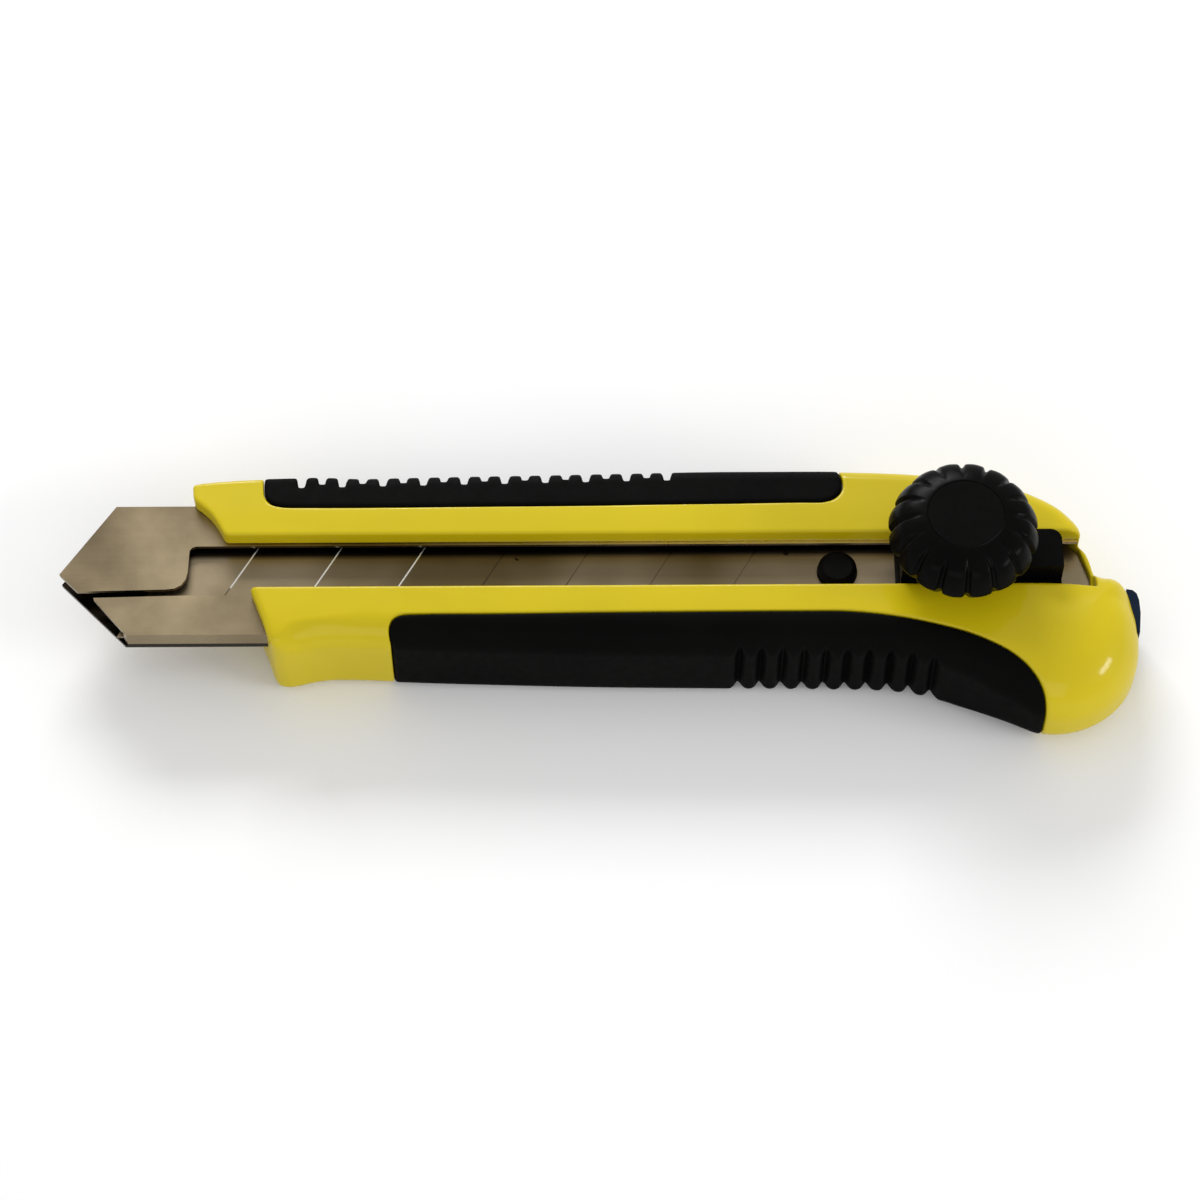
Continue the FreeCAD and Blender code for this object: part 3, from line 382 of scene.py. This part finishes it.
# ------------------------------------------------------------------ materials
class Shader:
    """Small builder for a procedural Principled material in object space."""

    def __init__(self, name):
        self.material = bpy.data.materials.new(name)
        self.material.use_nodes = True
        self.tree = self.material.node_tree
        self.tree.nodes.clear()
        self.out = self.tree.nodes.new("ShaderNodeOutputMaterial")
        self.bsdf = self.tree.nodes.new("ShaderNodeBsdfPrincipled")
        self.link(self.bsdf.outputs[0], self.out.inputs["Surface"])
        self.coord = self.tree.nodes.new("ShaderNodeTexCoord")

    def link(self, a, b):
        self.tree.links.new(a, b)

    def set(self, **values):
        names = {"metallic": "Metallic", "roughness": "Roughness", "ior": "IOR",
                 "coat": "Coat Weight", "coat_roughness": "Coat Roughness",
                 "specular": "Specular IOR Level"}
        for key, value in values.items():
            self.bsdf.inputs[names[key]].default_value = value

    def stretch(self, scale):
        mapping = self.tree.nodes.new("ShaderNodeMapping")
        mapping.inputs["Scale"].default_value = scale
        self.link(self.coord.outputs["Object"], mapping.inputs["Vector"])
        return mapping.outputs[0]

    def noise(self, per_metre, detail=4.0, rough=0.55, vector=None):
        node = self.tree.nodes.new("ShaderNodeTexNoise")
        node.inputs["Scale"].default_value = per_metre
        node.inputs["Detail"].default_value = detail
        node.inputs["Roughness"].default_value = rough
        self.link(vector or self.coord.outputs["Object"], node.inputs["Vector"])
        return node.outputs["Fac"]

    def voronoi(self, per_metre):
        node = self.tree.nodes.new("ShaderNodeTexVoronoi")
        node.inputs["Scale"].default_value = per_metre
        self.link(self.coord.outputs["Object"], node.inputs["Vector"])
        return node.outputs["Distance"]

    def axes(self):
        node = self.tree.nodes.new("ShaderNodeSeparateXYZ")
        self.link(self.coord.outputs["Object"], node.inputs[0])
        return node.outputs[0], node.outputs[1], node.outputs[2]

    def map(self, value, low, high, to_low, to_high):
        node = self.tree.nodes.new("ShaderNodeMapRange")
        node.inputs["From Min"].default_value = low
        node.inputs["From Max"].default_value = high
        node.inputs["To Min"].default_value = to_low
        node.inputs["To Max"].default_value = to_high
        self.link(value, node.inputs["Value"])
        return node.outputs[0]

    def math(self, op, *items):
        node = self.tree.nodes.new("ShaderNodeMath")
        node.operation = op
        for i, item in enumerate(items):
            if isinstance(item, (int, float)):
                node.inputs[i].default_value = item
            else:
                self.link(item, node.inputs[i])
        return node.outputs[0]

    def ramp(self, value, stops):
        node = self.tree.nodes.new("ShaderNodeValToRGB")
        elements = node.color_ramp.elements
        while len(elements) < len(stops):
            elements.new(0.5)
        for element, (place, colour) in zip(elements, stops):
            element.position = place
            element.color = (*colour, 1.0)
        self.link(value, node.inputs[0])
        return node.outputs[0]

    def mix(self, factor, a, b):
        node = self.tree.nodes.new("ShaderNodeMix")
        node.data_type = "RGBA"
        for socket, item in ((node.inputs[0], factor), (node.inputs[6], a), (node.inputs[7], b)):
            if isinstance(item, tuple):
                socket.default_value = (*item, 1.0)
            else:
                self.link(item, socket)
        return node.outputs[2]

    def base(self, value):
        self.link(value, self.bsdf.inputs["Base Color"])

    def rough(self, value):
        self.link(value, self.bsdf.inputs["Roughness"])

    def bump(self, value, depth_mm, strength):
        node = self.tree.nodes.new("ShaderNodeBump")
        node.inputs["Strength"].default_value = strength
        node.inputs["Distance"].default_value = depth_mm * MM
        self.link(value, node.inputs["Height"])
        self.link(node.outputs[0], self.bsdf.inputs["Normal"])


def yellow_plastic():
    s = Shader("yellow_abs")
    s.set(ior=1.5, specular=0.1, coat=0.35, coat_roughness=0.12)
    cloud = s.noise(45, 3)
    s.base(s.ramp(cloud, [(0.3, (0.52, 0.41, 0.002)), (0.7, (0.59, 0.46, 0.004))]))
    s.rough(s.map(s.noise(260, 5), 0.3, 0.7, 0.42, 0.52))
    s.bump(s.noise(1400, 2), 0.010, 0.5)
    return s.material


def black_rubber():
    s = Shader("black_soft_grip")
    s.set(ior=1.45, specular=0.03)
    cloud = s.noise(70, 4)
    s.base(s.ramp(cloud, [(0.3, (0.0016, 0.0016, 0.0015)), (0.7, (0.0028, 0.0028, 0.0026))]))
    s.rough(s.map(s.noise(900, 4), 0.3, 0.7, 0.50, 0.62))
    s.bump(s.noise(5200, 2), 0.012, 0.6)
    return s.material


def knob_plastic(name="black_moulded", rough=(0.24, 0.34), colour=(0.0028, 0.0026, 0.0024)):
    s = Shader(name)
    s.set(ior=1.5, specular=0.035)
    cloud = s.noise(120, 4)
    deep = tuple(0.6 * c for c in colour)
    s.base(s.ramp(cloud, [(0.3, deep), (0.7, colour)]))
    s.rough(s.map(s.noise(1100, 4), 0.3, 0.7, rough[0], rough[1]))
    s.bump(s.noise(3600, 3), 0.010, 0.5)
    return s.material


def strip_steel(name, dark, light, rough=(0.24, 0.34)):
    """Rolled strip: broad tonal clouds with faint rolling lines along X. Returns the shader,
    so that callers can add to it."""
    s = Shader(name)
    s.set(metallic=1.0)
    stroke = s.noise(60, 6, 0.6, s.stretch((1.0, 28.0, 28.0)))
    cloud = s.noise(48, 2, 0.4)
    value = s.math("ADD", s.math("MULTIPLY", stroke, 0.06), s.math("MULTIPLY", cloud, 0.94))
    s.base(s.ramp(value, [(0.36, dark), (0.66, light)]))
    s.rough(s.map(s.noise(160, 4), 0.3, 0.7, rough[0], rough[1]))
    s.bump(stroke, 0.0012, 0.3)
    return s


def channel_steel():
    """Folded strip: a painted highlight along the spine side flange, and painted shade on the
    floor under the blade's tip.
    """
    s = strip_steel("stainless_strip", (0.15, 0.115, 0.07), (0.36, 0.285, 0.175))
    x, y, z = s.axes()
    old = s.bsdf.inputs["Base Color"].links[0].from_socket
    # painted shade: the channel floor's front edge (x below -36 mm, z 8.25 to 9.1 mm) is coloured
    # near black where it lies in shade under the blade's tip
    front = s.math("LESS_THAN", x, -0.036)
    low = s.math("MULTIPLY", s.math("LESS_THAN", z, 0.0091), s.math("GREATER_THAN", z, 0.00825))
    colour = s.mix(s.math("MULTIPLY", front, low), old, (0.02, 0.015, 0.01))
    # painted highlight: the top of the spine side flange (z above 10.4 mm) is coloured near
    # white, fading in from x = -30 mm to full at x = 20 mm
    slot_side = s.math("GREATER_THAN", y, (SLOT_Y + 1.5) * MM)
    high = s.math("GREATER_THAN", z, 0.0104)
    along = s.map(x, -0.030, 0.020, 0.0, 1.0)
    painted_flange_highlight = s.math("MULTIPLY", s.math("MULTIPLY", slot_side, high), along)
    s.base(s.mix(painted_flange_highlight, colour, (0.95, 0.86, 0.78)))
    return s


def blade_steel():
    """Blade: rust specks, a painted shadow band beside the spine side flange, and painted
    highlights on the first three snap lines."""
    s = strip_steel("blade_steel", (0.12, 0.088, 0.04), (0.30, 0.24, 0.155), (0.26, 0.38))
    x, y, _ = s.axes()
    # painted highlight: the snap lines in front of x = -19 mm and above 1.9 mm below the slot
    # line are coloured near white, as if lit
    pitch, lean, first = 0.01087, 0.578, 0.0468
    across = s.math("ADD", s.math("MULTIPLY", x, 1 / pitch),
                    s.math("MULTIPLY", y, -lean / pitch))
    start = (first + lean * SLOT_Y * MM) / pitch + 0.5
    phase = s.math("FRACT", s.math("ADD", across, start))
    off_line = s.math("ABSOLUTE", s.math("SUBTRACT", phase, 0.5))
    line = s.math("LESS_THAN", off_line, 0.0095)
    front = s.math("LESS_THAN", x, -0.019)
    upper = s.math("GREATER_THAN", y, (SLOT_Y - 1.9) * MM)
    lit = s.math("MULTIPLY", line, s.math("MULTIPLY", front, upper))
    spots = s.math("LESS_THAN", s.voronoi(330), 0.13)
    chosen = s.math("GREATER_THAN", s.noise(150, 1), 0.60)
    old = s.bsdf.inputs["Base Color"].links[0].from_socket
    colour = s.mix(s.math("MULTIPLY", spots, chosen), old, (0.03, 0.02, 0.012))
    # painted shadow: a band of the blade beside the spine side flange (2.2 to 5.4 mm from the
    # slot line) is darkened to near black where the flange's shadow falls
    painted_shadow_band = s.math("MULTIPLY", s.map(y, (SLOT_Y + 2.2) * MM, (SLOT_Y + 2.9) * MM, 0.0, 0.93),
                  s.map(y, (SLOT_Y + 4.2) * MM, (SLOT_Y + 5.4) * MM, 1.0, 0.0))
    colour = s.mix(painted_shadow_band, colour, (0.006, 0.005, 0.004))
    s.base(s.mix(lit, colour, (0.95, 0.93, 0.88)))
    return s


def machined(name, dark, light, rough=(0.28, 0.42)):
    s = Shader(name)
    s.set(metallic=1.0)
    s.base(s.ramp(s.noise(400, 4), [(0.35, dark), (0.65, light)]))
    s.rough(s.map(s.noise(1500, 3), 0.3, 0.7, rough[0], rough[1]))
    s.bump(s.noise(3000, 2), 0.006, 0.4)
    return s.material


def pale_floor():
    s = Shader("pale_floor")
    s.set(roughness=0.9, specular=0.1)
    s.base(s.ramp(s.noise(3, 2), [(0.3, (0.86, 0.86, 0.86)), (0.7, (0.88, 0.88, 0.88))]))
    return s.material


yellow = yellow_plastic()
rubber = black_rubber()
black = knob_plastic()
black_smooth = knob_plastic("black_face", (0.34, 0.44))
# black end cap: its blue tint is a painted sheen, a blue-grey reflection put into the base colour
black_cap_blue_sheen = knob_plastic("black_cap_painted_blue_sheen", (0.2, 0.28), (0.010, 0.018, 0.035))
stainless = channel_steel().material
blade_metal = blade_steel().material
zinc = machined("zinc_steel", (0.42, 0.42, 0.41), (0.56, 0.56, 0.54))
dark_zinc = machined("blackened_steel", (0.03, 0.028, 0.025), (0.05, 0.047, 0.042))
brass = machined("turned_brass", (0.55, 0.38, 0.15), (0.68, 0.49, 0.22))

for piece, material in ((front_piece, yellow), (rear_piece, yellow), (spine_piece, rubber),
                        (belly_piece, rubber), (knob_piece, black)):
    piece.data.materials.append(material)


# ------------------------------------------------------------------ pieces kept from CAD
def node_object(name):
    for obj in bpy.data.objects:
        if obj.name == name:
            return obj
    raise RuntimeError("no CAD object " + name)


def dress(name, material, bevel_mm=0.0, segments=3):
    """Give a CAD piece its material and, if asked, small rounded edges."""
    obj = node_object(name)
    obj.data.materials.clear()
    obj.data.materials.append(material)
    if bevel_mm:
        mod = obj.modifiers.new("edge_round", "BEVEL")
        mod.width = bevel_mm * MM
        mod.segments = segments
        mod.limit_method = "ANGLE"
        mod.angle_limit = math.radians(40)
        mod.harden_normals = False


dress("blade_channel", stainless, 0.28, 3)
dress("snap_blade", blade_metal)
dress("blade_carrier", dark_zinc, 0.06, 2)
dress("carrier_peg", black_smooth, 0.25, 3)
dress("slider_block", black, 0.4, 3)
dress("clamp_stud", zinc)
dress("slider_spring", zinc)
dress("thrust_washer", zinc, 0.08, 2)
dress("knob_nut", brass, 0.1, 2)
dress("knob_cap", black_smooth)
dress("end_cap", black_cap_blue_sheen, 0.25, 3)
dress("cover_screws", zinc, 0.08, 2)
dress("screw_inserts", brass)
dress("channel_pins", zinc)

# ------------------------------------------------------------------ floor, light, camera
bpy.ops.mesh.primitive_plane_add(size=6.0, location=(0, 0, 0))
floor = bpy.context.active_object
floor.name = "floor"
floor.data.materials.append(pale_floor())


def area(name, place, size, power):
    """Rectangular lamp aimed at the middle of the object's back."""
    light = bpy.data.lights.new(name, "AREA")
    light.shape = "RECTANGLE"
    light.size, light.size_y = size
    light.energy = power
    obj = bpy.data.objects.new(name, light)
    bpy.context.scene.collection.objects.link(obj)
    obj.location = place
    obj.rotation_euler = (-Vector(place)).to_track_quat("-Z", "Y").to_euler()


area("key", (-0.14, 0.68, 0.44), (0.45, 0.22), 4.7)
area("side", (0.80, -0.26, 0.39), (0.34, 0.14), 2.4)
area("front", (-0.20, -0.80, 0.45), (1.1, 0.5), 2.0)

world = bpy.data.worlds.new("studio")
world.use_nodes = True
world.node_tree.nodes["Background"].inputs["Color"].default_value = (1.0, 1.0, 1.0, 1.0)
world.node_tree.nodes["Background"].inputs["Strength"].default_value = 0.64
bpy.context.scene.world = world
bpy.context.scene.view_settings.view_transform = "Standard"

camera_data = bpy.data.cameras.new("camera")
camera_data.sensor_width = 36.0
camera_data.lens = 110.52
camera_data.clip_start = 0.01
camera = bpy.data.objects.new("camera", camera_data)
bpy.context.scene.collection.objects.link(camera)
elevation = math.radians(60.0)
distance, roll = 0.480, math.radians(-0.3)
target = Vector((0.0, (SLOT_Y - 2.26) * MM, 7.0 * MM))
away = Vector((0.0, -math.cos(elevation), math.sin(elevation)))
camera.location = target + away * distance
facing = (target - camera.location).to_track_quat("-Z", "Y").to_matrix().to_4x4()
camera.matrix_world = (Matrix.Translation(camera.location) @ facing
                       @ Matrix.Rotation(roll, 4, "Z"))
bpy.context.scene.camera = camera
